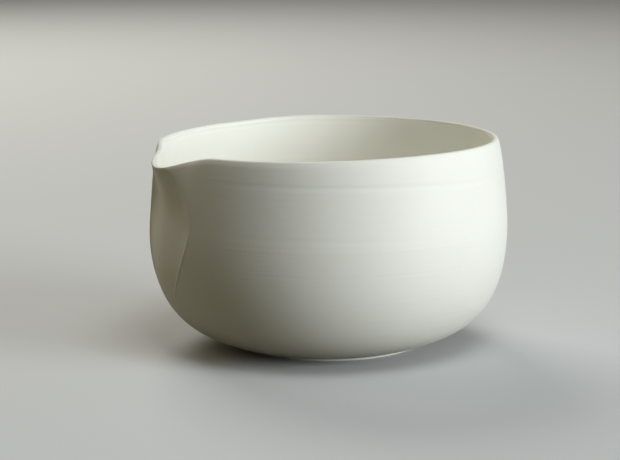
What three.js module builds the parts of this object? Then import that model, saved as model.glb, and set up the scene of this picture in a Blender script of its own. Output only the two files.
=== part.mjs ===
// A small spouted pouring bowl of thin white porcelain, thrown on a wheel and left matt outside.
// Millimetres, +Z up. The origin is the centre of the foot, on the table, and the spout points to -X.
//
// Four pieces are modelled: the thrown bowl with a notch in its wall, the spout that is luted into
// the notch, the low turned foot ring, and the thin clear glaze that lines the inside.

import * as THREE from "three";
import { mergeVertices } from "three/addons/utils/BufferGeometryUtils.js";

// Driving dimensions, in millimetres and degrees

// The thrown bowl
const HEIGHT = 74.5; // table to the rim, at the back
const BELLY_RADIUS = 64; // the widest level of the outside
const BELLY_HEIGHT = 43.8;
const RIM_RADIUS = 60.7; // outside of the rim
const RIM_THICKNESS = 1.6;
const WALL = 2.8; // at the belly
const FLOOR = 3.6;

// The foot ring
const FOOT_RADIUS = 32.6;
const FOOT_HEIGHT = 1;
const FOOT_WIDTH = 4.2;
const FOOT_CHAMFER = 0.35;
const FOOT_SHOULDER = 0.8; // how far the bowl's flat underside runs past the ring

// The rim bends down and out towards the lip
const LIP_REACH = 4.1;
const LIP_HALF_ANGLE = 17.5;
const LIP_DROP = 5.8;
const CHANNEL_HALF_ANGLE = 28;
const RIM_SWAY = 1.3; // the slow dip of the whole rim on the spout's side
const RIM_SWAY_HALF_ANGLE = 105;
const FLARE_START_HEIGHT = 50; // where the wall starts to bend out to the lip

// The rim is pinched in by the fingers on both sides of the lip
const PINCH_DEPTH = 0.5;
const PINCH_ANGLE = 17.5; // from the spout's middle
const PINCH_HALF_ANGLE = 8;

// The throat: the leaf-shaped hollow side of the spout piece, from its tip up to the lip
const THROAT_TIP_HEIGHT = 15;
const THROAT_WIDEST_HEIGHT = 48;
const THROAT_HALF_WIDTH = 23.8;
const THROAT_LIP_HALF_WIDTH = 6.6;
const THROAT_DEPTH = 3;
const THROAT_DEEPEST_HEIGHT = 55;
const THROAT_LENGTH_BELOW = 33; // the hollow runs out this far under its deepest level
const THROAT_LENGTH_ABOVE = 24; // and this far over it

// The glaze inside
const GLAZE = 0.35;

// Exponents that set how the spout's forms turn
const FORM = {
  lipFullness: 0.7, // under 1 gives the lip a broad nose, over 1 a pointed one
  flareBend: 1.7, // 1 bends the wall out in a straight line, more keeps the bend near the lip
  dropBend: 2, // the same for how the wall's levels sink towards the lip
  throatFlatness: 4, // across the throat, 2 is a round hollow and more is flat with steep sides
  leafShoulder: 1.4, // the leaf's outline: 1 is a sharp corner at its widest, 2 is round
  leafPoint: 0.85, // and 1 gives it a sharp tip, 0.5 a round one
};

// Pulls of the section's curves, as shares of the height or width that each curve covers
const OUTSIDE = {
  startOut: 0.5,
  startUp: 0.1,
  underBelly: 0.76,
  overBelly: 0.16,
  rimOut: 0.55,
  rimDown: 0.21,
};
const INSIDE = {
  startOut: 0.78,
  startUp: 0,
  underBelly: 0.78,
  overBelly: 0.16,
  rimOut: 0.4,
  rimDown: 0.21,
};

// Facets
const ROWS_UNDER_TIP = 7;
const INNER_ROWS_UNDER_TIP = 7;
const ROWS_OVER_TIP = 14;
const RIM_STEPS = 4;
const SPOUT_COLUMNS = 10;
const SIDE_COLUMNS = 9;
const BACK_COLUMNS = 40;

// Worked out from the sizes above

const rimRound = RIM_THICKNESS / 2;
const rimEdgeHeight = HEIGHT - rimRound;
const undersideRadius = FOOT_RADIUS + FOOT_SHOULDER;
const floorHeight = FOOT_HEIGHT + FLOOR;
const throatHalfAngle = THROAT_HALF_WIDTH / BELLY_RADIUS;
const throatLipHalfAngle = THROAT_LIP_HALF_WIDTH / RIM_RADIUS;
const lipHalfAngle = THREE.MathUtils.degToRad(LIP_HALF_ANGLE);
const channelHalfAngle = THREE.MathUtils.degToRad(CHANNEL_HALF_ANGLE);
const rimSwayHalfAngle = THREE.MathUtils.degToRad(RIM_SWAY_HALF_ANGLE);
const pinchAngle = THREE.MathUtils.degToRad(PINCH_ANGLE);
const pinchHalfAngle = THREE.MathUtils.degToRad(PINCH_HALF_ANGLE);

// The fine columns beside the spout reach a little past whatever is shaped there.
const pastSpout = THREE.MathUtils.degToRad(3);
const pinchEnd = pinchAngle + pinchHalfAngle;
const spoutSector = Math.max(channelHalfAngle, lipHalfAngle, throatHalfAngle, pinchEnd) + pastSpout;

// The section of the wall, outside and inside, each as two curves that meet upright at the belly
function wallPath(start, belly, rim, pull) {
  const width = belly.x - start.x;
  const under = belly.y - start.y;
  const over = rim.y - belly.y;
  const lean = belly.x - rim.x;
  const path = new THREE.CurvePath();
  path.add(
    new THREE.CubicBezierCurve(
      start,
      new THREE.Vector2(start.x + width * pull.startOut, start.y + under * pull.startUp),
      new THREE.Vector2(belly.x, belly.y - under * pull.underBelly),
      belly,
    ),
  );
  path.add(
    new THREE.CubicBezierCurve(
      belly,
      new THREE.Vector2(belly.x, belly.y + over * pull.overBelly),
      new THREE.Vector2(rim.x + lean * pull.rimOut, rim.y - over * pull.rimDown),
      rim,
    ),
  );
  return path;
}

const outerPath = wallPath(
  new THREE.Vector2(undersideRadius, FOOT_HEIGHT),
  new THREE.Vector2(BELLY_RADIUS, BELLY_HEIGHT),
  new THREE.Vector2(RIM_RADIUS, rimEdgeHeight),
  OUTSIDE,
);

const innerPath = wallPath(
  new THREE.Vector2(0, floorHeight),
  new THREE.Vector2(BELLY_RADIUS - WALL, BELLY_HEIGHT),
  new THREE.Vector2(RIM_RADIUS - RIM_THICKNESS, rimEdgeHeight),
  INSIDE,
);

function parameterAtHeight(path, height) {
  let low = 0;
  let high = 1;
  for (let i = 0; i < 40; i += 1) {
    const middle = (low + high) / 2;
    if (path.getPoint(middle).y < height) low = middle;
    else high = middle;
  }
  return (low + high) / 2;
}

// Half the throat's width at a height, as an angle about the bowl's axis: a leaf's outline
function throatAngleAt(height) {
  const above = height > THROAT_WIDEST_HEIGHT;
  const end = above ? HEIGHT : THROAT_TIP_HEIGHT;
  const endAngle = above ? throatLipHalfAngle : 0;
  const along = Math.min(Math.abs((height - THROAT_WIDEST_HEIGHT) / (end - THROAT_WIDEST_HEIGHT)), 1);
  return endAngle + (throatHalfAngle - endAngle) * (1 - along ** FORM.leafShoulder) ** FORM.leafPoint;
}

// A station is one level of the section: its radius, its height and the throat's half angle there.
function stationsAlong(path, rowsUnderTip, thickness = 0) {
  const tip = parameterAtHeight(path, THROAT_TIP_HEIGHT);
  const stations = [];
  for (let row = 0; row <= rowsUnderTip + ROWS_OVER_TIP; row += 1) {
    const over = row - rowsUnderTip;
    const t = over < 0 ? (tip * row) / rowsUnderTip : tip + ((1 - tip) * over) / ROWS_OVER_TIP;
    const point = path.getPoint(t);
    const along = path.getTangent(t);
    const radius = point.x > 0 ? point.x - along.y * thickness : 0; // the floor's centre stays on the axis
    const height = point.y + along.x * thickness;
    const halfAngle = over <= 0 ? 0 : throatAngleAt(point.y);
    stations.push({ radius, height, level: point.y, halfAngle });
  }
  return stations;
}

function rimStations() {
  const stations = [];
  for (let step = 1; step < RIM_STEPS; step += 1) {
    const turn = (Math.PI * step) / RIM_STEPS;
    const height = rimEdgeHeight + rimRound * Math.sin(turn);
    const radius = RIM_RADIUS - rimRound + rimRound * Math.cos(turn);
    stations.push({ radius, height, level: height, halfAngle: throatLipHalfAngle });
  }
  return stations;
}

// What the spout does to the round wall

function bump(angle, halfAngle) {
  return Math.abs(angle) < halfAngle ? (1 + Math.cos((Math.PI * angle) / halfAngle)) / 2 : 0;
}

function climb(level, start) {
  return THREE.MathUtils.clamp((level - start) / (HEIGHT - start), 0, 1);
}

function throatDepthAt(level) {
  const away = level - THROAT_DEEPEST_HEIGHT;
  return THROAT_DEPTH * bump(away, away < 0 ? THROAT_LENGTH_BELOW : THROAT_LENGTH_ABOVE);
}

function pointAt(station, angle) {
  const { radius, height, level, halfAngle } = station;
  const drop = LIP_DROP * bump(angle, channelHalfAngle) + RIM_SWAY * bump(angle, rimSwayHalfAngle);
  const reach = LIP_REACH * bump(angle, lipHalfAngle) ** FORM.lipFullness;
  const pinch = PINCH_DEPTH * bump(Math.abs(angle) - pinchAngle, pinchHalfAngle);
  const flare = (reach - pinch) * climb(level, FLARE_START_HEIGHT) ** FORM.flareBend;
  const across = halfAngle > 0 ? Math.min(Math.abs(angle) / halfAngle, 1) : 1;
  const hollow = throatDepthAt(level) * (1 - across ** FORM.throatFlatness);
  const r = radius + flare - hollow;
  const z = height - drop * climb(level, BELLY_HEIGHT) ** FORM.dropBend;
  return new THREE.Vector3(-r * Math.cos(angle), -r * Math.sin(angle), z);
}

// Columns are angles from the spout's middle. The bowl's run from one edge of the throat round the
// back to the other edge.

function spread(from, to, count) {
  return Array.from({ length: count + 1 }, (_, i) => from + ((to - from) * i) / count);
}

function bowlColumns(halfAngle) {
  const beside = spread(halfAngle, spoutSector, SIDE_COLUMNS);
  const back = spread(spoutSector, 2 * Math.PI - spoutSector, BACK_COLUMNS).slice(1, -1);
  const wrapped = back.map((angle) => (angle > Math.PI ? angle - 2 * Math.PI : angle));
  const otherSide = beside.map((angle) => -angle).reverse();
  return [...beside, ...wrapped, ...otherSide];
}

// The spout's columns run across the throat, closer together near its edges, where the hollow turns.
function spoutColumns(halfAngle) {
  return spread(-Math.PI / 2, Math.PI / 2, SPOUT_COLUMNS).map((turn) => halfAngle * Math.sin(turn));
}

// Collects faces, leaves out those that have shrunk to a line, and joins their corners.
class Skin {
  corners = [];

  face(a, b, c) {
    if (a.equals(b) || b.equals(c) || c.equals(a)) return;
    for (const corner of [a, b, c]) this.corners.push(corner.x, corner.y, corner.z);
  }

  // Four corners, always split across a and c, so that two pieces that meet there fit exactly
  quad(a, b, c, d, flip = false) {
    if (flip) {
      this.face(a, c, b);
      this.face(a, d, c);
    } else {
      this.face(a, b, c);
      this.face(a, c, d);
    }
  }

  // The surface through a row of stations, between the columns given for each
  sheet(stations, columnsOf, flip = false) {
    const rows = stations.map((s) => columnsOf(s.halfAngle).map((angle) => pointAt(s, angle)));
    for (let row = 0; row + 1 < rows.length; row += 1) {
      for (let column = 0; column + 1 < rows[row].length; column += 1) {
        this.quad(
          rows[row][column],
          rows[row][column + 1],
          rows[row + 1][column + 1],
          rows[row + 1][column],
          flip,
        );
      }
    }
  }

  // The cut through the wall on one side of the throat, where the spout is luted in
  seam(side, flip) {
    const outside = outerStations.slice(ROWS_UNDER_TIP).map((s) => pointAt(s, side * s.halfAngle));
    const inside = innerStations.slice(INNER_ROWS_UNDER_TIP).map((s) => pointAt(s, side * s.halfAngle));
    for (let row = 0; row < ROWS_OVER_TIP; row += 1) {
      this.quad(outside[row], outside[row + 1], inside[row + 1], inside[row], flip);
    }
    const rim = overRim.map((s) => pointAt(s, side * s.halfAngle));
    const edge = [...rim, inside[ROWS_OVER_TIP]];
    for (let i = 0; i + 1 < edge.length; i += 1) {
      const [a, b] = flip ? [edge[i + 1], edge[i]] : [edge[i], edge[i + 1]];
      this.face(outside[ROWS_OVER_TIP], a, b);
    }
  }

  mesh(name, material) {
    const loose = new THREE.BufferGeometry();
    loose.setAttribute("position", new THREE.Float32BufferAttribute(this.corners, 3));
    const geometry = mergeVertices(loose, 1e-4);
    geometry.computeVertexNormals();
    const mesh = new THREE.Mesh(geometry, material);
    mesh.name = name;
    return mesh;
  }
}

const outerStations = stationsAlong(outerPath, ROWS_UNDER_TIP);
const innerStations = stationsAlong(innerPath, INNER_ROWS_UNDER_TIP);
const glazeStations = stationsAlong(innerPath, INNER_ROWS_UNDER_TIP, GLAZE);
const overRim = rimStations();

// Materials

const porcelain = { color: 0xe9e6dc, roughness: 0.72, metalness: 0 };
const bowlPorcelain = new THREE.MeshStandardMaterial(porcelain);
const spoutPorcelain = new THREE.MeshStandardMaterial(porcelain);
const footPorcelain = new THREE.MeshStandardMaterial({ color: 0xe2ddd0, roughness: 0.8, metalness: 0 });
const clearGlaze = new THREE.MeshStandardMaterial({ color: 0xefeadb, roughness: 0.3, metalness: 0 });

// The thrown bowl: underside, outside, rim and inside in one sheet, closed along the notch
function bowlBody() {
  const skin = new Skin();
  const centre = { radius: 0, height: FOOT_HEIGHT, level: FOOT_HEIGHT, halfAngle: 0 };
  const down = [...innerStations].reverse();
  skin.sheet([centre, ...outerStations, ...overRim, ...down], bowlColumns);
  skin.seam(1, false);
  skin.seam(-1, true);
  return skin.mesh("bowl_body", bowlPorcelain);
}

// The spout: the leaf-shaped throat and the lip above it
function spout() {
  const skin = new Skin();
  const up = outerStations.slice(ROWS_UNDER_TIP);
  const down = innerStations.slice(INNER_ROWS_UNDER_TIP).reverse();
  skin.sheet([...up, ...overRim, ...down], spoutColumns);
  skin.seam(1, true);
  skin.seam(-1, false);
  return skin.mesh("spout", spoutPorcelain);
}

// The foot ring: a low turned ring, chamfered where it meets the table
function footRing() {
  const inner = FOOT_RADIUS - FOOT_WIDTH;
  const section = [
    new THREE.Vector2(inner + FOOT_CHAMFER, 0),
    new THREE.Vector2(FOOT_RADIUS - FOOT_CHAMFER, 0),
    new THREE.Vector2(FOOT_RADIUS, FOOT_CHAMFER),
    new THREE.Vector2(FOOT_RADIUS, FOOT_HEIGHT),
    new THREE.Vector2(inner, FOOT_HEIGHT),
    new THREE.Vector2(inner, FOOT_CHAMFER),
    new THREE.Vector2(inner + FOOT_CHAMFER, 0),
  ];
  const geometry = new THREE.LatheGeometry(section, BACK_COLUMNS + 2 * SIDE_COLUMNS);
  geometry.rotateX(Math.PI / 2);
  const mesh = new THREE.Mesh(geometry, footPorcelain);
  mesh.name = "foot_ring";
  return mesh;
}

// The glaze lining: a thin skin on the inside of the bowl and the spout, up to the rim's edge
function glazeLining() {
  const skin = new Skin();
  const against = [...innerStations].reverse();
  const exposed = [...glazeStations].reverse();
  const overSpout = (stations) => stations.slice(0, ROWS_OVER_TIP + 1);
  skin.sheet(against, bowlColumns, true);
  skin.sheet(overSpout(against), spoutColumns, true);
  skin.sheet(exposed, bowlColumns);
  skin.sheet(overSpout(exposed), spoutColumns);
  const edge = [against[0], exposed[0]];
  skin.sheet(edge, bowlColumns);
  skin.sheet(edge, spoutColumns);
  return skin.mesh("glaze_lining", clearGlaze);
}

const bowl = new THREE.Group();
bowl.name = "spouted_bowl";
bowl.add(bowlBody());
bowl.add(spout());
bowl.add(footRing());
bowl.add(glazeLining());

export default bowl;
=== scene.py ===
# %% [markdown]
# # A spouted bowl of white porcelain
#
# This notebook dresses a small hand-thrown pouring bowl. The real one is thrown on a wheel, its
# rim is drawn out to a lip, a leaf-shaped spout piece is luted into the wall under the lip, a low
# foot is turned, and the inside gets a thin clear glaze. The packed model could be given a
# material as it is, but its faces are too large for a soft rim or a throwing mark. So each piece
# is made again here from the same sizes, with many small faces, and takes the place of the packed
# one.

from dataclasses import dataclass
from math import cos, pi, radians, sin

import bpy
import numpy as np
from mathutils import Matrix, Vector


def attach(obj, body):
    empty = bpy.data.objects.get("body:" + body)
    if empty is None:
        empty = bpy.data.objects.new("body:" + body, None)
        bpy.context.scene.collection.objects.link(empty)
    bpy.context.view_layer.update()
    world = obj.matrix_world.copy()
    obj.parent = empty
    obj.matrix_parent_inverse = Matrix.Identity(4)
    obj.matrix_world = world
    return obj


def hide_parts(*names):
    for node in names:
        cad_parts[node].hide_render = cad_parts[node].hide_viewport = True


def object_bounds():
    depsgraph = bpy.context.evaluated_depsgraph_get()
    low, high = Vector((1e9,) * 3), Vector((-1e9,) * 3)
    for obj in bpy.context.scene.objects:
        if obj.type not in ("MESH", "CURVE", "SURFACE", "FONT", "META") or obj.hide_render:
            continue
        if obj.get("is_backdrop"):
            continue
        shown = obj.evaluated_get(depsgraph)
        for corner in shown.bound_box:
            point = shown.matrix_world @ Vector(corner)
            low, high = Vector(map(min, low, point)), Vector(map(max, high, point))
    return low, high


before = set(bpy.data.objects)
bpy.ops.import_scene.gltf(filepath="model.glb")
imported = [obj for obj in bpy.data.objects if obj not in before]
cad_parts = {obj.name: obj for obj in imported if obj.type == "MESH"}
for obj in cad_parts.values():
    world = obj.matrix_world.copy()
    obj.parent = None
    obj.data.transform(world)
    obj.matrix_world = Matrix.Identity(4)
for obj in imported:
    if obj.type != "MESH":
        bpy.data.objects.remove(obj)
cad_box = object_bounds()
scene = bpy.context.scene
print("nodes:", sorted(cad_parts))

# %% [markdown]
# ## Sizes
#
# A potter measures a bowl across and up, with the thickness of the clay in the wall, floor and
# rim. The same few numbers describe it here, because a size that has a name can be changed later.
# Lengths on the bowl are in millimetres and are turned into metres only when a mesh is made.
# Angles are counted from the middle of the spout, which points to -X, so 0 is the spout and a
# half turn is the back.

# %% Sizes of the round bowl
MM = 0.001

HEIGHT = 74.5
BELLY_RADIUS = 64
BELLY_HEIGHT = 43.8
RIM_RADIUS = 60.7
RIM_THICKNESS = 1.6
WALL = 2.8
FLOOR = 3.6

FOOT_RADIUS = 32.6
FOOT_HEIGHT = 1.0
FOOT_WIDTH = 4.2
FOOT_SHOULDER = 0.8

rim_edge_height = HEIGHT - RIM_THICKNESS / 2
underside_radius = FOOT_RADIUS + FOOT_SHOULDER
floor_height = FOOT_HEIGHT + FLOOR
print("bowl", 2 * BELLY_RADIUS, "mm across and", HEIGHT, "mm high")
print("foot", 2 * FOOT_RADIUS, "mm across")

# %% [markdown]
# ## The section of the wall
#
# A thrown wall is one flowing line. It could be a spline through measured points, but a spline
# ripples between them. Two Bezier curves that meet upright at the belly have no ripple, and each
# pull on them has a meaning: how flat the wall leaves the foot, how full it is under the belly,
# how it leans in above. A pull is a share of the way across or up.

# %% A wall from two Bezier curves
SAMPLES = 800


def bezier(points, t):
    a, b, c, d = np.array(points, float)
    t = np.asarray(t)[:, None]
    return (1 - t) ** 3 * a + 3 * (1 - t) ** 2 * t * b + 3 * (1 - t) * t**2 * c + t**3 * d


def wall_curve(start, belly, rim, pull):
    """Closely spaced (radius, height) points from the bottom to the rim."""
    width, under = belly[0] - start[0], belly[1] - start[1]
    over, lean = rim[1] - belly[1], belly[0] - rim[0]
    t = np.linspace(0, 1, SAMPLES)
    leave_foot = (start[0] + width * pull["start_out"], start[1] + under * pull["start_up"])
    below_belly = (belly[0], belly[1] - under * pull["under_belly"])
    above_belly = (belly[0], belly[1] + over * pull["over_belly"])
    reach_rim = (rim[0] + lean * pull["rim_out"], rim[1] - over * pull["rim_down"])
    lower = bezier([start, leave_foot, below_belly, belly], t)
    upper = bezier([belly, above_belly, reach_rim, rim], t)
    return np.vstack([lower, upper[1:]])


print("points in a wall curve:", 2 * SAMPLES - 1)

# %% The outer and the inner line of the wall
OUTSIDE = {
    "start_out": 0.5,
    "start_up": 0.1,
    "under_belly": 0.76,
    "over_belly": 0.16,
    "rim_out": 0.55,
    "rim_down": 0.21,
}
INSIDE = {
    "start_out": 0.78,
    "start_up": 0,
    "under_belly": 0.78,
    "over_belly": 0.16,
    "rim_out": 0.4,
    "rim_down": 0.21,
}

outer_curve = wall_curve(
    (underside_radius, FOOT_HEIGHT),
    (BELLY_RADIUS, BELLY_HEIGHT),
    (RIM_RADIUS, rim_edge_height),
    OUTSIDE,
)
inner_curve = wall_curve(
    (0, floor_height),
    (BELLY_RADIUS - WALL, BELLY_HEIGHT),
    (RIM_RADIUS - RIM_THICKNESS, rim_edge_height),
    INSIDE,
)
print("outer wall from", outer_curve[0].round(1), "to", outer_curve[-1].round(1))

# %% [markdown]
# ## The edge that a wet leather leaves
#
# A potter runs a strip of wet leather over the rim. It rounds the outer edge off and rolls the
# inner edge a little inwards, which is why the rim of the real bowl shows as a soft bright band
# with a fine dark line inside it. A bevel would give the band but not the line, so both sides of
# the wall are bent.

# %% Soften the outer edge and roll the inner one
RIM_SOFTNESS = 0.18
RIM_SOFT_HEIGHT = 1.6
RIM_ROLL = 0.3
RIM_ROLL_HEIGHT = 1.0

near_rim = np.clip((outer_curve[:, 1] - rim_edge_height) / RIM_SOFT_HEIGHT + 1, 0, 1)
outer_curve[:, 0] -= RIM_SOFTNESS * near_rim**2
under_edge = (rim_edge_height - inner_curve[:, 1]) / RIM_ROLL_HEIGHT
inner_curve[:, 0] -= RIM_ROLL * np.exp(-(under_edge**2))
print("rim", round(outer_curve[-1, 0] - inner_curve[-1, 0], 2), "mm thick at its edge")

# %% [markdown]
# ## The leaf of the spout
#
# The spout piece has the outline of a leaf: pointed near the foot, widest below the middle of the
# wall and narrow at the lip. It could be cut out of the wall with a boolean, but that leaves a
# ragged seam. Here the leaf is a half angle that changes with height, and the mesh's own columns
# follow it.

# %% How wide the leaf is at each height
LEAF_TIP_HEIGHT = 15
LEAF_WIDEST_HEIGHT = 48
LEAF_HALF_ANGLE = 23.8 / BELLY_RADIUS
LEAF_LIP_HALF_ANGLE = 6.6 / RIM_RADIUS
LEAF_SHOULDER = 1.4
LEAF_POINT = 0.85


def leaf_half_angle(level):
    above = level > LEAF_WIDEST_HEIGHT
    end = np.where(above, HEIGHT, LEAF_TIP_HEIGHT)
    end_angle = np.where(above, LEAF_LIP_HALF_ANGLE, 0)
    along = np.clip((level - LEAF_WIDEST_HEIGHT) / (end - LEAF_WIDEST_HEIGHT), 0, 1)
    fullness = (1 - along**LEAF_SHOULDER) ** LEAF_POINT
    return end_angle + (LEAF_HALF_ANGLE - end_angle) * fullness


print("leaf", round(2 * LEAF_HALF_ANGLE * BELLY_RADIUS, 1), "mm wide at", LEAF_WIDEST_HEIGHT, "mm")

# %% [markdown]
# ## Stations
#
# A station is one row of the wall: its radius, its height, the level that it belongs to, and the
# leaf's half angle there. Rows at even heights would be the simplest, but on the flat floor they
# would lie far apart. So they are spaced by length along the curve, and they crowd towards the
# rim, where the edge turns quickly. The glaze uses the same stations moved inwards, and thins out
# near the rim.

# %% Stations along a wall curve
ROWS_UNDER_TIP = 45
ROWS_OVER_TIP = 130
CROWDING = 1.5
GLAZE_EDGE = 2.5
GLAZE_LEFT = 0.05


def stations_along(curve, thickness=0.0):
    """Rows of (radius, height, level, half angle), with one row exactly at the leaf's tip."""
    steps = np.hypot(*np.diff(curve, axis=0).T)
    length = np.concatenate([[0], np.cumsum(steps)])
    tip = np.interp(LEAF_TIP_HEIGHT, curve[:, 1], length)
    under = np.linspace(0, tip, ROWS_UNDER_TIP + 1)
    to_rim = np.linspace(1, 0, ROWS_OVER_TIP + 1)[1:]
    over = length[-1] - (length[-1] - tip) * to_rim**CROWDING
    where = np.concatenate([under, over])
    radius = np.interp(where, length, curve[:, 0])
    level = np.interp(where, length, curve[:, 1])
    along = np.gradient(np.column_stack([radius, level]), where, axis=0)
    half_angle = leaf_half_angle(level)
    half_angle[: ROWS_UNDER_TIP + 1] = 0
    from_rim = length[-1] - where + GLAZE_LEFT
    coat = thickness * np.sqrt(np.clip(from_rim / GLAZE_EDGE, 0, 1))
    inward = np.where(radius > 0, radius - along[:, 1] * coat, 0)
    return np.column_stack([inward, level + along[:, 0] * coat, level, half_angle])


outer_stations = stations_along(outer_curve)
inner_stations = stations_along(inner_curve)
print("rows in a wall:", len(outer_stations))

# %% [markdown]
# ## Over the rim
#
# The top of the rim joins the outer wall to the inner one. A half circle would start upright and
# leave a dark line where the softened wall leans in. So the outer side is a piece of an ellipse
# that starts at the wall's own lean, and the inner side is a narrow quarter of an ellipse.

# %% Stations over the rim
RIM_STEPS = 12
RIM_INNER_WIDTH = 0.6

rim_rise = HEIGHT - rim_edge_height
outer_width = RIM_THICKNESS + RIM_ROLL - RIM_SOFTNESS - RIM_INNER_WIDTH
lean = 2 * RIM_SOFTNESS / RIM_SOFT_HEIGHT
first_turn = np.arcsin(1 / (outer_width / (rim_rise * lean) - 1))
outer_turn = np.linspace(first_turn, pi / 2, RIM_STEPS // 2 + 1)[1:]
inner_turn = np.linspace(pi / 2, pi, RIM_STEPS // 2 + 1)[1:-1]

rim_top_radius = RIM_RADIUS - RIM_THICKNESS - RIM_ROLL + RIM_INNER_WIDTH
outer_fall = rim_rise / (1 - np.sin(first_turn))
outer_half = [
    rim_top_radius + outer_width / np.cos(first_turn) * np.cos(outer_turn),
    HEIGHT - outer_fall * (1 - np.sin(outer_turn)),
]
inner_half = [
    rim_top_radius + RIM_INNER_WIDTH * np.cos(inner_turn),
    HEIGHT - rim_rise * (1 - np.sin(inner_turn)),
]
rim_radius, rim_height = np.hstack([outer_half, inner_half])
lip_half_angle = np.full(len(rim_height), LEAF_LIP_HALF_ANGLE)
over_rim = np.column_stack([rim_radius, rim_height, rim_height, lip_half_angle])
print("rows over the rim:", len(over_rim))

# %% [markdown]
# ## The lip
#
# Two fingers pinch the rim while a third draws the clay between them out and down, and a little
# more clay follows on the far side. It could be sculpted, which looks as lively. But a formula
# gives the bowl and the spout the very same edge, so that they meet corner to corner. Each
# movement is a smooth bump round the rim, and fades out down the wall.

# %% The rim drawn out and down to a lip
LIP_REACH = 4.4
LIP_HALF_ANGLE = radians(17.5)
LIP_FULLNESS = 0.7
PINCH_DEPTH = 0.5
PINCH_ANGLE = radians(17.5)
PINCH_HALF_ANGLE = radians(8)
SHOULDER_REACH = 0.55
SHOULDER_ANGLE = radians(-19.5)
SHOULDER_HALF_ANGLE = radians(16)
LIP_DROP = 5.8
CHANNEL_HALF_ANGLE = radians(28)
RIM_SWAY = 1.3
RIM_SWAY_HALF_ANGLE = radians(105)


def bump(angle, half_angle):
    """1 in the middle, falling smoothly to 0 at the half angle."""
    inside = np.abs(angle) < half_angle
    return np.where(inside, (1 + np.cos(pi * angle / half_angle)) / 2, 0)


def lip_reach(angle):
    drawn = LIP_REACH * bump(angle, LIP_HALF_ANGLE) ** LIP_FULLNESS
    pinched = PINCH_DEPTH * bump(np.abs(angle) - PINCH_ANGLE, PINCH_HALF_ANGLE)
    shoulder = SHOULDER_REACH * bump(angle - SHOULDER_ANGLE, SHOULDER_HALF_ANGLE)
    return drawn - pinched + shoulder


def lip_drop(angle):
    channel = LIP_DROP * bump(angle, CHANNEL_HALF_ANGLE)
    return channel + RIM_SWAY * bump(angle, RIM_SWAY_HALF_ANGLE)


print("the lip reaches", float(lip_reach(0)), "mm out and", float(lip_drop(0)), "mm down")

# %% [markdown]
# ## A rim made by hand
#
# No thrown rim is quite level. On the real bowl it rises and dips by a few tenths of a
# millimetre, which makes it look made by hand. Noise would make every stretch alike, so each one
# is written down.

# %% Where the rim stands high or low


@dataclass
class Wobble:
    """A stretch of the rim: its middle and half length in degrees, and its rise in millimetres."""

    middle: float
    half_length: float
    rise: float


WOBBLES = [
    Wobble(22, 9, -0.35),
    Wobble(107, 45, 0.28),
    Wobble(238, 26, 0.2),
    Wobble(257, 20, 0.34),
    Wobble(283, 14, -0.25),
    Wobble(303, 32, -0.34),
]


def turned_from(angle, middle):
    """The angle from a middle in degrees, the short way round."""
    return np.mod(angle - radians(middle) + pi, 2 * pi) - pi


def rim_wobble(angle):
    rise = 0
    for wobble in WOBBLES:
        turned = turned_from(angle, wobble.middle)
        rise = rise + wobble.rise * bump(turned, radians(wobble.half_length))
    return rise


rises = rim_wobble(np.linspace(0, 2 * pi, 361)).round(2)
print("the rim wanders from", rises.min(), "to", rises.max(), "mm")

# %% [markdown]
# ## Throwing marks
#
# Fingers leave grooves in the turning clay, most of them smoothed away later. One clear groove
# runs under the rim, and fainter ones run lower down and round the back. They could be a bump in
# the material, but then a mesh that is exported alone would be bare of them. So these are real
# grooves, slightly slanted, each ending where the finger left the clay.

# %% The grooves that the fingers left
MARK_CLIMB = -1.5
MARK_SAG = 1.3
MARK_ENDS = 0.6


@dataclass
class Mark:
    """A groove: height and depth in its middle, where that is, how far it runs each way."""

    height: float
    middle: float
    half_length: float
    depth: float
    width: float = 0.75


MARKS = [
    Mark(65.1, 88, 66, 0.11, 0.9),
    Mark(47.6, 73, 38, 0.045),
    Mark(56.2, 86, 12, 0.03, 0.6),
    Mark(25.5, 77, 18, 0.035),
    Mark(62.5, 205, 60, 0.06),
    Mark(51.0, 255, 48, 0.04),
    Mark(36.5, 170, 42, 0.04),
    Mark(68.6, 300, 26, 0.05),
    Mark(30.0, 285, 36, 0.035, 1.1),
]


def throwing_marks(angle, height):
    depth = np.zeros(np.broadcast(angle, height).shape)
    for mark in MARKS:
        turned = turned_from(angle, mark.middle)
        line = mark.height + MARK_CLIMB * turned - MARK_SAG * turned**2
        pressed = bump(turned, radians(mark.half_length)) ** MARK_ENDS
        depth = depth + mark.depth * pressed * np.exp(-(((height - line) / mark.width) ** 2))
    return depth


print(len(MARKS), "throwing marks, the deepest", max(mark.depth for mark in MARKS), "mm")

# %% [markdown]
# ## The crease
#
# Where the spout piece is luted in, a fine groove stays along its edge, and lower down the piece
# stands a hair proud, which catches the light as a thin bright line. A crease on a subdivision
# surface would be sharp all along. Here both forms have a width of their own, and fade at the
# leaf's tip and under the lip, where the potter smooths the join. The groove is steeper on the
# leaf's side.

# %% The groove and the proud edge along the leaf
CREASE_DEPTH = 0.4
CREASE_IN_LEAF = 0.5
CREASE_IN_WALL = 1.5
CREASE_CURVE = 1.4
CREASE_SPREAD = 6
CREASE_ENDS = 0.4
CREASE_LOST_BELOW = 0.9
BEAD_HEIGHT = 0.3
BEAD_INSET = 0.35
BEAD_WIDTH = 0.55
BEAD_TOP = 60
BEAD_RISE = 22
BEAD_LEFT_ABOVE = 0.4


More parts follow.
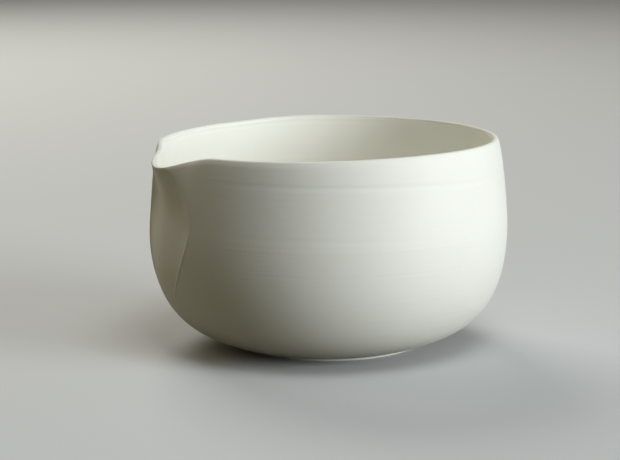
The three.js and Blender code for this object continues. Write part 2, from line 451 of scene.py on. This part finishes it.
def crease(from_edge, level):
    """How far the clay stands out at a distance from the leaf's edge, in millimetres."""
    share = (level - LEAF_TIP_HEIGHT) / (HEIGHT - LEAF_TIP_HEIGHT)
    kept = np.clip(CREASE_SPREAD * share * (1 - share) - CREASE_ENDS, 0, 1)
    low_down = np.clip((BEAD_TOP - level) / BEAD_RISE, 0, 1)
    flank = np.where(from_edge > 0, CREASE_IN_WALL, CREASE_IN_LEAF)
    groove = np.exp(-((np.abs(from_edge) / flank) ** CREASE_CURVE))
    bead = np.exp(-(((from_edge + BEAD_INSET) / BEAD_WIDTH) ** 2))
    proud = BEAD_HEIGHT * (BEAD_LEFT_ABOVE + (1 - BEAD_LEFT_ABOVE) * low_down) * bead
    pressed = CREASE_DEPTH * (1 - CREASE_LOST_BELOW * low_down) * groove
    return kept * (proud - pressed)


for level in (60.0, 35.0):
    stands_out = float(crease(0.0, level).round(2))
    print("at the leaf's edge,", level, "mm up, the clay stands", stands_out, "mm out")

# %% [markdown]
# ## Every corner from one formula
#
# Under the lip the wall of the real bowl is pressed in to a shallow throat, the leaf's hollow.
# Each piece could have its own mesh and be fitted to its neighbours by eye. Instead, one function
# turns stations and angles into corners for the bowl, the spout and the glaze alike, with all the
# movements above in it, so whatever changes in one piece changes in the others too.

# %% From stations and angles to corners
FLARE_START = 50
FLARE_CURVE = 1.7
DROP_CURVE = 2
THROAT_DEPTH = 3.0
THROAT_DEEPEST_HEIGHT = 55
THROAT_FADE_BELOW = 33
THROAT_FADE_ABOVE = 24
THROAT_FLATNESS = 4
MARK_FADE = radians(4)
NO_WIDTH = 1e-9


def climb(level, start):
    return np.clip((level - start) / (HEIGHT - start), 0, 1)


def throat_depth(level):
    away = level - THROAT_DEEPEST_HEIGHT
    fade = np.where(away < 0, THROAT_FADE_BELOW, THROAT_FADE_ABOVE)
    return THROAT_DEPTH * bump(away, fade)


def corners(stations, angles, outside=False):
    """Corners in millimetres; angles is a grid with a row for each station."""
    radius, height, level, half_angle = (stations[:, k][:, None] for k in range(4))
    lowered = lip_drop(angles) - rim_wobble(angles)
    z = height - lowered * climb(level, BELLY_HEIGHT) ** DROP_CURVE
    across = np.minimum(np.abs(angles) / np.maximum(half_angle, NO_WIDTH), 1)
    hollow = throat_depth(level) * (1 - across**THROAT_FLATNESS)
    r = radius + lip_reach(angles) * climb(level, FLARE_START) ** FLARE_CURVE - hollow
    if outside:
        beside_leaf = np.clip((np.abs(angles) - half_angle) / MARK_FADE, 0, 1)
        r = r - throwing_marks(angles, z) * beside_leaf
        r = r + crease(radius * (np.abs(angles) - half_angle), level)
    return np.stack([-r * np.cos(angles), -r * np.sin(angles), z], axis=-1)


lip = corners(over_rim, np.zeros((len(over_rim), 1)))[:, 0].round(1)
print("the lip reaches to x =", lip[:, 0].min(), "mm, and its top is at", lip[:, 2].max(), "mm")

# %% [markdown]
# ## From grids to meshes
#
# Every piece is a few grids of corners sewn together. It could be done by hand in Edit Mode with
# Merge by Distance, but a script gives the same result each time. Corners in the same place
# become one, faces that have shrunk to a line are dropped, and edges that turn by more than a set
# angle are marked sharp, so that a cut edge stays crisp while the wall shades smoothly.

# %% Sewing grids together
SHARP = radians(40)
SAME_PLACE = 1e-6


def grid_faces(rows, columns, first, flip):
    index = first + np.arange(rows * columns).reshape(rows, columns)
    a, b = index[:-1, :-1].ravel(), index[:-1, 1:].ravel()
    c, d = index[1:, 1:].ravel(), index[1:, :-1].ravel()
    order = (a, d, c, b) if flip else (a, b, c, d)
    return np.column_stack(order)


def sew(name, grids):
    """A mesh object in metres from (corners, flip) grids."""
    points, faces, first = [], [], 0
    for grid, flip in grids:
        rows, columns = grid.shape[:2]
        points.append(grid.reshape(-1, 3))
        faces.append(grid_faces(rows, columns, first, flip))
        first += rows * columns
    points = np.vstack(points) * MM
    key = np.round(points / SAME_PLACE).astype(np.int64)
    _, kept, same = np.unique(key, axis=0, return_index=True, return_inverse=True)
    polygons = []
    for face in same.ravel()[np.vstack(faces)].tolist():
        ring = [v for k, v in enumerate(face) if v != face[k - 1]]
        if len(set(ring)) > 2:
            polygons.append(ring)
    mesh = bpy.data.meshes.new(name)
    mesh.from_pydata(points[kept].tolist(), [], polygons)
    mesh.validate()
    mesh.shade_smooth()
    mesh.set_sharp_from_angle(angle=SHARP)
    piece = bpy.data.objects.new(name, mesh)
    scene.collection.objects.link(piece)
    print(name, len(polygons), "faces")
    return piece


print("a grid of 3 by 4 corners has", len(grid_faces(3, 4, 0, False)), "faces")

# %% [markdown]
# ## Columns round the bowl
#
# Evenly spaced columns would cross the leaf's edge at a slant and leave it ragged. So the bowl's
# columns start at one edge of the leaf and end at the other, close together near the spout and
# wider apart at the back. The spout's columns lie between the leaf's edges, closest near them,
# where the hollow turns. The two share the edge itself, so no gap can open there.

# %% Columns for the bowl and for the spout
SPOUT_SECTOR = CHANNEL_HALF_ANGLE + radians(3)
SIDE_COLUMNS = 40
BACK_COLUMNS = 140
SPOUT_COLUMNS = 60


def bowl_columns(stations):
    half_angle = stations[:, 3][:, None]
    side = np.linspace(0, 1, SIDE_COLUMNS + 1)[None, :]
    beside = half_angle + (SPOUT_SECTOR - half_angle) * side
    back = np.linspace(SPOUT_SECTOR, 2 * pi - SPOUT_SECTOR, BACK_COLUMNS + 1)[None, 1:-1]
    back = np.where(back > pi, back - 2 * pi, back)
    back = np.repeat(back, len(stations), axis=0)
    return np.hstack([beside, back, -beside[:, ::-1]])


def spout_columns(stations):
    across = np.sin(np.linspace(-pi / 2, pi / 2, SPOUT_COLUMNS + 1))[None, :]
    return stations[:, 3][:, None] * across


def sheet(stations, columns, outside=False):
    return corners(stations, columns(stations), outside)


print("columns round the bowl:", bowl_columns(outer_stations).shape[1])

# %% [markdown]
# ## The cut through the wall
#
# The potter cuts the leaf out of the soft wall with a wire. The cut shows nowhere on the finished
# bowl, because the spout piece fills it, but a solid has to be closed. So a strip of faces joins
# the outside to the inside along each edge of the leaf, and both pieces use the same strip.

# %% The cut on one side of the leaf
over_tip = slice(ROWS_UNDER_TIP, None)
top_of_rim = len(over_rim) // 2


def cut_side(side):
    """An outer and an inner column of corners, from the leaf's tip to the top of the rim."""
    outside = np.vstack([outer_stations[over_tip], over_rim[: top_of_rim + 1]])
    inside = np.vstack([inner_stations[over_tip], over_rim[: top_of_rim - 1 : -1]])
    outer_column = corners(outside, side * outside[:, 3:], outside=True)[:, 0]
    inner_column = corners(inside, side * inside[:, 3:])[:, 0]
    return np.stack([outer_column, inner_column], axis=1)


print("each side of the cut has", len(cut_side(1)), "rows")

# %% [markdown]
# ## The bowl
#
# The bowl is thrown first: underside, wall, rim and inside are one skin, with a leaf-shaped notch
# where the spout goes in. It could be spun round with a Screw modifier and cut with a Boolean,
# but that leaves long thin faces at the notch. So the skin is laid from the leaf's edges
# outwards.

# %% Make the bowl
UNDERSIDE_ROWS = 30

out = np.linspace(0, underside_radius, UNDERSIDE_ROWS + 1)[:-1]
underside = np.column_stack([out, np.full((len(out), 2), FOOT_HEIGHT), np.zeros(len(out))])
below = np.vstack([underside, outer_stations[:1]])
up_outside = np.vstack([outer_stations, over_rim])
down_inside = np.vstack([over_rim[-1:], inner_stations[::-1]])

bowl = sew(
    "porcelain_bowl",
    [
        (sheet(below, bowl_columns), False),
        (sheet(up_outside, bowl_columns, outside=True), False),
        (sheet(down_inside, bowl_columns), False),
        (cut_side(1), True),
        (cut_side(-1), False),
    ],
)
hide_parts("bowl_body")
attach(bowl, "root")

# %% [markdown]
# ## The spout
#
# The spout piece is rolled thin, pressed to a shallow leaf and luted into the notch, and the lip
# is drawn out above it. A sculpted shell could be shrink-wrapped to the notch, but it would never
# meet the wall exactly. It comes from the same formula as the bowl, so only the crease shows
# where they meet.

# %% Make the spout
spout_outside = np.vstack([outer_stations[over_tip], over_rim])
spout_inside = np.vstack([over_rim[-1:], inner_stations[over_tip][::-1]])

spout = sew(
    "porcelain_spout",
    [
        (sheet(spout_outside, spout_columns, outside=True), False),
        (sheet(spout_inside, spout_columns), False),
        (cut_side(1), False),
        (cut_side(-1), True),
    ],
)
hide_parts("spout")
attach(spout, "root")

# %% [markdown]
# ## The foot ring
#
# The foot is turned with a sharp tool when the clay is leather hard, and its edges are wiped so
# that they don't scratch the table. A torus or a cylinder with a bevel would do. Spinning the
# small section about the axis, with its two round corners, needs no modifier and keeps the real
# sizes in view.

# %% Make the foot ring
FOOT_EDGE = 0.35
CORNER_STEPS = 6
FOOT_COLUMNS = 256


def round_corner(centre, start, end):
    turn = np.linspace(start, end, CORNER_STEPS + 1)
    return [(centre + FOOT_EDGE * cos(t), FOOT_EDGE + FOOT_EDGE * sin(t)) for t in turn]


foot_inner = FOOT_RADIUS - FOOT_WIDTH
foot_section = np.array(
    [(foot_inner, FOOT_HEIGHT)]
    + round_corner(foot_inner + FOOT_EDGE, pi, 1.5 * pi)
    + round_corner(FOOT_RADIUS - FOOT_EDGE, 1.5 * pi, 2 * pi)
    + [(FOOT_RADIUS, FOOT_HEIGHT), (foot_inner, FOOT_HEIGHT)]
)
spin = np.linspace(0, 2 * pi, FOOT_COLUMNS + 1)
spin[-1] = 0
rings = [-foot_section[:, :1] * np.cos(spin), -foot_section[:, :1] * np.sin(spin)]
rings.append(np.repeat(foot_section[:, 1:], len(spin), axis=1))

foot = sew("porcelain_foot", [(np.stack(rings, axis=-1), False)])
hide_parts("foot_ring")
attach(foot, "root")

# %% [markdown]
# ## The glaze inside
#
# The inside is coated with a clear glaze, about a third of a millimetre thick, which thins out to
# the edge of the rim. A shiny material on the clay would look much the same. But the coat is a
# piece of its own on the real bowl, so it is a closed skin: one side lies on the clay and the
# other one shows.

# %% Make the glaze lining
GLAZE = 0.35

against = inner_stations[::-1]
exposed = stations_along(inner_curve, GLAZE)[::-1]
edge = np.vstack([against[:1], exposed[:1]])
over_spout = slice(0, ROWS_OVER_TIP + 1)

glaze = sew(
    "glaze_skin",
    [
        (sheet(against, bowl_columns), True),
        (sheet(against[over_spout], spout_columns), True),
        (sheet(exposed, bowl_columns), False),
        (sheet(exposed[over_spout], spout_columns), False),
        (sheet(edge, bowl_columns), False),
        (sheet(edge, spout_columns), False),
    ],
)
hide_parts("glaze_lining")
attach(glaze, "root")

# %% [markdown]
# ## Writing shader maths as plain expressions
#
# A pattern on a surface is a number that changes from place to place. Adding and linking every
# Math node by hand hides the sum that they do. The small class below wraps such a number, so that
# `0.2 * grain + tone` adds the nodes by itself. Colours don't go through it, because a Math node
# would turn them grey.

# %% A number that varies over a surface


class Varying:
    """One output of a node, with arithmetic."""

    def __init__(self, finish, socket):
        self.finish = finish
        self.socket = socket

    def maths(self, operation, first, second):
        return self.finish.node("ShaderNodeMath", {"operation": operation}, {0: first, 1: second})

    def __add__(self, other):
        return self.maths("ADD", self, other)

    def __radd__(self, other):
        return self.maths("ADD", other, self)

    def __sub__(self, other):
        return self.maths("SUBTRACT", self, other)

    def __mul__(self, other):
        return self.maths("MULTIPLY", self, other)

    def __rmul__(self, other):
        return self.maths("MULTIPLY", other, self)


number_first = [name for name in vars(Varying) if name.startswith("__r")]
print("sums that may start with a plain number:", number_first)

# %% [markdown]
# ## A finish
#
# A finish is a material with its Principled shader. Nodes could be added in the Shader Editor,
# but then nobody could read how they were set. One method adds any node: it takes the node's
# type, its settings, which are set first because they can change its sockets, and the values or
# links of its sockets.

# %% A material and one way to add a node


class Finish:
    """A material and the nodes in it."""

    def __init__(self, name):
        self.material = bpy.data.materials.new(name)
        self.material.use_nodes = True
        self.nodes = self.material.node_tree.nodes
        self.links = self.material.node_tree.links
        self.shader = self.nodes["Principled BSDF"]

    def put(self, socket, value):
        if isinstance(value, Varying):
            self.links.new(value.socket, socket)
        else:
            socket.default_value = value

    def node(self, kind, settings, inputs, output=0):
        made = self.nodes.new(kind)
        for name, value in settings.items():
            setattr(made, name, value)
        for name, value in inputs.items():
            self.put(made.inputs[name], value)
        return Varying(self, made.outputs[output])

    def surface(self, values):
        for name, value in values.items():
            self.put(self.shader.inputs[name], value)
        print(self.material.name, "has", len(self.nodes), "nodes")
        return self.material


print("materials before the first finish:", len(bpy.data.materials))

# %% [markdown]
# ## Patterns in clay and glaze
#
# Two patterns are enough for this bowl. Soft noise stands for what has no direction: the tooth of
# the clay, clouds of tone, the skin of a glaze. Lines round the axis stand for what the wheel
# leaves. A Wave Texture would repeat too evenly, so they are noise in one dimension, along the
# sum of height and radius, which makes rings on the wall and on the underside alike. A slow
# wander bends them a little.

# %% Noise and turned lines
DETAIL = 3.0
WANDER_SIZE = 40


def place(finish):
    return finish.node("ShaderNodeTexCoord", {}, {}, "Object")


def noise(finish, size, detail=DETAIL):
    """Soft noise whose lumps are about size millimetres across."""
    inputs = {"Vector": place(finish), "Scale": 1 / (size * MM), "Detail": detail}
    return finish.node("ShaderNodeTexNoise", {}, inputs, "Fac")


def turned_lines(finish, size, wander=0.5):
    """Lines round the axis, about size millimetres apart, as the turning wheel leaves them."""
    height = finish.node("ShaderNodeSeparateXYZ", {}, {"Vector": place(finish)}, "Z")
    without_height = {0: place(finish), 1: (1, 1, 0)}
    flat = finish.node("ShaderNodeVectorMath", {"operation": "MULTIPLY"}, without_height)
    radius = finish.node("ShaderNodeVectorMath", {"operation": "LENGTH"}, {0: flat}, "Value")
    along = (height + radius) * (1 / (size * MM)) + wander * noise(finish, WANDER_SIZE)
    inputs = {"W": along, "Scale": 1.0, "Detail": DETAIL}
    return finish.node("ShaderNodeTexNoise", {"noise_dimensions": "1D"}, inputs, "Fac")


print("lumps that are 1 mm across need a Scale of", round(1 / MM))

# %% [markdown]
# ## Colour and relief
#
# A pattern becomes visible in two ways. It mixes two tones of the clay, through a Mix node, and
# it raises the surface, through a Bump node. Real displacement would need faces finer than the
# pattern. A Mix node has sockets of the same names for numbers, vectors and colours, so the
# colour ones are called by their numbers.

# %% A colour between two tones, and a bump in millimetres
MIX_LOW, MIX_HIGH, MIXED_COLOUR = 6, 7, 2


def between(finish, factor, low, high):
    inputs = {"Factor": factor, MIX_LOW: (*low, 1), MIX_HIGH: (*high, 1)}
    return finish.node("ShaderNodeMix", {"data_type": "RGBA"}, inputs, MIXED_COLOUR)


def relief(finish, height):
    inputs = {"Height": height, "Distance": MM, "Strength": 1.0}
    return finish.node("ShaderNodeBump", {}, inputs, "Normal")


print("a height of 1 in a relief stands for", MM, "m")

# %% [markdown]
# ## Matt porcelain
#
# Unglazed porcelain is dense and nearly white, with a trace of warmth. Seen close it has a very
# fine tooth, faint lines from the wheel that the sponge has wiped away in patches, and slow
# clouds of tone. A little light goes into it, which softens the edges of shadows. A picture of
# clay would bring its own light and seams with it, so all of this is worked out from the place on
# the bowl. The spout piece was never on the wheel, so its lines are much fainter.

# %% The porcelain outside
WARM_WHITE = (0.795, 0.78, 0.715)
COOL_WHITE = (0.84, 0.833, 0.782)
CLOUD_SIZE = 18
LINE_SIZE = 1.1
LINE_SHARE = 0.3
LINE_ROUGHNESS = 0.03
SPONGE_SIZE = 26
SPONGE_EDGE = 1.6
SPONGE_CLEAN = 0.3
SMUDGE_SIZE = 6
SMUDGE_ROUGHNESS = 0.07
TOOTH_SIZE = 0.45
TOOTH_HEIGHT = 0.012
LIGHT_SHARE = 0.06
LIGHT_DEPTH = 2


def porcelain(name, low, high, roughness, line_height):
    finish = Finish(name)
    lines = turned_lines(finish, LINE_SIZE)
    tone = (1 - LINE_SHARE) * noise(finish, CLOUD_SIZE) + LINE_SHARE * lines
    left_by_sponge = SPONGE_EDGE * noise(finish, SPONGE_SIZE) - SPONGE_CLEAN
    tooth = TOOTH_HEIGHT * noise(finish, TOOTH_SIZE, detail=2.0)
    smudges = SMUDGE_ROUGHNESS * noise(finish, SMUDGE_SIZE)
    return finish.surface(
        {
            "Base Color": between(finish, tone, low, high),
            "Roughness": roughness + smudges + LINE_ROUGHNESS * lines,
            "Normal": relief(finish, tooth + line_height * lines * left_by_sponge),
            "Subsurface Weight": LIGHT_SHARE,
            "Subsurface Scale": LIGHT_DEPTH * MM,
        }
    )


print("finest detail:", TOOTH_SIZE, "mm wide and", TOOTH_HEIGHT, "mm high")

# %% The bowl's and the spout's porcelain
MATT = 0.57

thrown = porcelain("matt_porcelain", WARM_WHITE, COOL_WHITE, MATT, line_height=0.05)
pressed = porcelain("matt_porcelain_spout", WARM_WHITE, COOL_WHITE, MATT, line_height=0.008)
bowl.data.materials.append(thrown)
spout.data.materials.append(pressed)

# %% [markdown]
# ## The turned foot
#
# The foot is the same clay, but it is cut with a tool, never glazed, and it rubs on every table
# that the bowl stands on. One material for the whole bowl would miss that wear. So the foot has
# the same pattern in a rougher surface and a slightly greyer, darker tone.

# %% The porcelain of the foot
FOOT_SHADE = (0.75, 0.73, 0.66)
FOOT_LIGHT = (0.80, 0.785, 0.72)
WORN = 0.66

turned = porcelain("turned_porcelain", FOOT_SHADE, FOOT_LIGHT, WORN, line_height=0.05)
foot.data.materials.append(turned)

# %% [markdown]
# ## Clear glaze
#
# The glaze is clear, so the inside keeps the colour of the clay, a touch lighter, under a soft
# shine. It could be real glass over the clay, but that is slow to render, and an export may lose
# it. A light colour with a thin coat gives the same look, and wide soft ripples bend the
# highlights, as throwing rings under a glaze do.

# %% The glaze inside
GLAZE_SHADE = (0.90, 0.893, 0.825)
GLAZE_LIGHT = (0.935, 0.93, 0.875)
SATIN = 0.36
SMEAR_SIZE = 5
SMEAR_ROUGHNESS = 0.08
POOL_SIZE = 22
SKIN_SIZE = 3
SKIN_HEIGHT = 0.01
RIPPLE_SIZE = 7
RIPPLE_HEIGHT = 0.08
SHINE = 0.25
SHINE_ROUGHNESS = 0.25


def clear_glaze(name, low, high):
    finish = Finish(name)
    ripples = RIPPLE_HEIGHT * turned_lines(finish, RIPPLE_SIZE, wander=0.3)
    return finish.surface(
        {
            "Base Color": between(finish, noise(finish, POOL_SIZE), low, high),
            "Roughness": SATIN + SMEAR_ROUGHNESS * noise(finish, SMEAR_SIZE),
            "Normal": relief(finish, SKIN_HEIGHT * noise(finish, SKIN_SIZE) + ripples),
            "Coat Weight": SHINE,
            "Coat Roughness": SHINE_ROUGHNESS,
        }
    )


glaze.data.materials.append(clear_glaze("satin_glaze", GLAZE_SHADE, GLAZE_LIGHT))

# %% [markdown]
# ## The floor
#
# The bowl stands on a plain pale floor, large enough to fill the view. A white bowl on a pale
# floor is lit from below as well, and loses the dark underside that shows how round its belly is.
# A dark floor would keep it, but would look gloomy. So the kind of ray decides: the floor is pale
# to the camera and in reflections, and darker to the light that bounces off it.

# %% A plain pale floor
FLOOR_SIZE = 12
SEEN_FLOOR = (0.60, 0.61, 0.62)
BOUNCING_FLOOR = (0.15, 0.135, 0.085)
FLOOR_ROUGHNESS = 0.8

half = FLOOR_SIZE / 2
floor_corners = [(-half, -half, 0), (half, -half, 0), (half, half, 0), (-half, half, 0)]
floor_mesh = bpy.data.meshes.new("floor")
floor_mesh.from_pydata(floor_corners, [], [(0, 1, 2, 3)])
floor = bpy.data.objects.new("floor", floor_mesh)
scene.collection.objects.link(floor)

pale = Finish("pale_floor")
camera_ray, glossy_ray, through_ray = (
    pale.node("ShaderNodeLightPath", {}, {}, ray)
    for ray in ("Is Camera Ray", "Is Glossy Ray", "Is Transmission Ray")
)
seen = camera_ray + glossy_ray + through_ray
floor_colour = between(pale, seen, BOUNCING_FLOOR, SEEN_FLOOR)
painted = pale.surface({"Base Color": floor_colour, "Roughness": FLOOR_ROUGHNESS})
floor.data.materials.append(painted)
floor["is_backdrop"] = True

# %% [markdown]
# ## Light
#
# White clay shows its form only in the way that light falls off round it. A picture of a studio
# as the world would light it too, but lamps can be moved one by one. A low wide one on the right,
# like a window, rounds the wall and leaves the spout's side in warm shade. One overhead draws the
# bright line of the rim, a weak warm one keeps the leaf readable, and one behind lights the back
# and the near half of the inside. The world only lifts the shadows.

# %% The colours as they are, and a faint warm fill
FILL_COLOUR = (1.0, 0.9, 0.57)
FILL_STRENGTH = 0.059

scene.view_settings.view_transform = "Standard"
world = bpy.data.worlds.new("studio")
world.use_nodes = True
fill = world.node_tree.nodes["Background"]
fill.inputs["Color"].default_value = (*FILL_COLOUR, 1)
fill.inputs["Strength"].default_value = FILL_STRENGTH
scene.world = world
print("fill light", FILL_STRENGTH, "in", FILL_COLOUR)

# %% Four soft lamps
CAMERA_AZIMUTH = -21


@dataclass
class Lamp:
    """Angles in degrees, the azimuth to the right of the camera; lengths in metres."""

    name: str
    azimuth: float
    elevation: float
    distance: float
    width: float
    height: float
    watts: float
    colour: tuple


LAMPS = [
    Lamp("window", 62, 11, 1.4, 0.75, 0.6, 18.8, (0.90, 0.965, 1.0)),
    Lamp("overhead", 31, 67, 1.6, 0.8, 0.8, 8.5, (0.95, 0.99, 1.0)),
    Lamp("side", -110, 30, 1.6, 0.8, 0.8, 2.2, (1.0, 0.87, 0.55)),
    Lamp("back", -158, 36, 1.6, 0.8, 0.8, 12, (1.0, 0.97, 0.90)),
]


def hang(lamp):
    """Hang a lamp so that it faces the middle of the bowl."""
    light = bpy.data.lights.new(lamp.name, "AREA")
    light.shape = "RECTANGLE"
    light.size, light.size_y = lamp.width, lamp.height
    light.energy = lamp.watts
    light.color = lamp.colour
    turn, up = radians(CAMERA_AZIMUTH) + radians(lamp.azimuth), radians(lamp.elevation)
    away = Vector((sin(turn) * cos(up), -cos(turn) * cos(up), sin(up)))
    holder = bpy.data.objects.new(lamp.name, light)
    holder.location = away * lamp.distance + Vector((0, 0, BELLY_HEIGHT * MM))
    holder.rotation_euler = away.to_track_quat("Z", "Y").to_euler()
    scene.collection.objects.link(holder)
    print(lamp.name, "lamp,", lamp.watts, "W, at", [round(c, 2) for c in holder.location])


for lamp in LAMPS:
    hang(lamp)

# %% [markdown]
# ## Camera
#
# The camera looks from the photograph's side: 21 degrees round towards the spout, and about 10
# degrees above the floor. A wide lens close by would bend the ellipse of the rim, so this is a
# long lens from a step away. Its place, tilt and lens were fitted until the outline of the bowl
# agreed.

# %% The camera
CAMERA_DISTANCE = 0.7877
CAMERA_HEIGHT = 0.181
CAMERA_PITCH = radians(10.10)
CAMERA_YAW = radians(-0.48)
CAMERA_ROLL = radians(-0.34)
LENS = 129.4
SENSOR_WIDTH = 36

camera_data = bpy.data.cameras.new("camera")
camera_data.lens = LENS
camera_data.sensor_width = SENSOR_WIDTH
camera = bpy.data.objects.new("camera", camera_data)
to_side = Matrix.Rotation(radians(CAMERA_AZIMUTH), 4, "Z")
away = Matrix.Translation((0, -CAMERA_DISTANCE, CAMERA_HEIGHT))
yaw = Matrix.Rotation(-CAMERA_YAW, 4, "Z")
pitch = Matrix.Rotation(pi / 2 - CAMERA_PITCH, 4, "X")
roll = Matrix.Rotation(CAMERA_ROLL, 4, "Z")
look = yaw @ pitch @ roll
camera.matrix_world = to_side @ away @ look
scene.collection.objects.link(camera)
scene.camera = camera
print("camera at", [round(c, 3) for c in camera.location])

# %% [markdown]
# ## Finish
#
# Dressing a bowl must not resize it. The size of the dressed model could be read off in the
# viewport, but printed numbers are easier to compare, so both sizes are printed side by side.

# %% Sizes of the packed and the dressed model
boxes = {"cad": cad_box, "visual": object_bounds()}
for name, box in boxes.items():
    print(name, "box in mm:", [[round(c / MM, 2) for c in corner] for corner in box])
